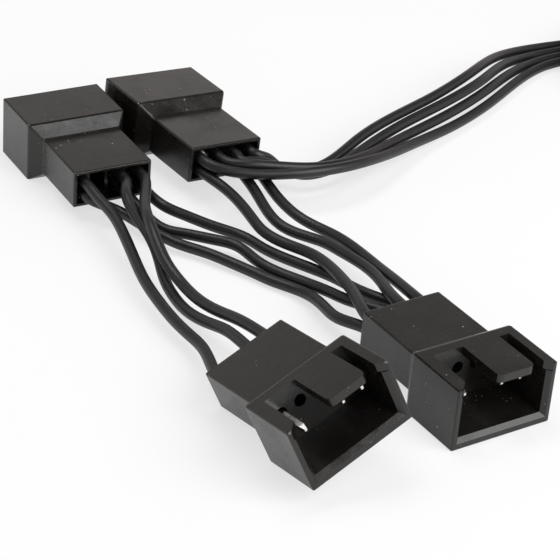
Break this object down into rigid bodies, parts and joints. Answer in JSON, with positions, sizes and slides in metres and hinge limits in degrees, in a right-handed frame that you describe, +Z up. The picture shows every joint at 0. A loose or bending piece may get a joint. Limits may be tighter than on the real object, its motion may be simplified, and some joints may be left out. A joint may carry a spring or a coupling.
{
  "type": "fan splitter cable",
  "caption": "Black fan splitter cable: a flat trunk with a socket feeds keyed pin housings that short jumper wires link in a chain.",
  "frame": {"origin": "centre of the footprint of the pin housings, on the surface the cable lies on", "axes": "+Z up; +Y towards the mouths of the two housings that the trunk and the crossing jumpers come from; +X towards the trunk's coil and socket"},
  "size_m": [0.13, 0.0853, 0.0141],
  "materials": {
    "housing": "satin black moulded nylon",
    "wire": "semi-matte black insulation",
    "terminal": "bright tin plate"
  },
  "bodies": {
    "root": {"housing_a": "housing", "housing_b": "housing", "housing_c": "housing", "housing_d": "housing", "terminal_a_pwm": "terminal", "terminal_a_plus": "terminal", "terminal_a_gnd": "terminal", "terminal_b_pwm": "terminal", "terminal_b_tach": "terminal", "terminal_b_plus": "terminal", "terminal_b_gnd": "terminal", "terminal_c_pwm": "terminal", "terminal_c_plus": "terminal", "terminal_c_gnd": "terminal", "terminal_d_pwm": "terminal", "terminal_d_plus": "terminal", "terminal_d_gnd": "terminal", "jumper_b_d_pwm": "wire", "jumper_b_d_plus": "wire", "jumper_b_d_gnd": "wire", "jumper_a_d_pwm": "wire", "jumper_a_d_plus": "wire", "jumper_a_d_gnd": "wire", "jumper_a_c_pwm": "wire", "jumper_a_c_plus": "wire", "jumper_a_c_gnd": "wire", "trunk_pwm": "wire", "trunk_tach": "wire", "trunk_plus": "wire", "trunk_gnd": "wire", "trunk_coil": "wire", "tail_pwm": "wire", "tail_tach": "wire", "tail_plus": "wire", "tail_gnd": "wire", "socket_housing": "housing", "contact_pwm": "terminal", "contact_tach": "terminal", "contact_plus": "terminal", "contact_gnd": "terminal"}
  },
  "joints": []
}
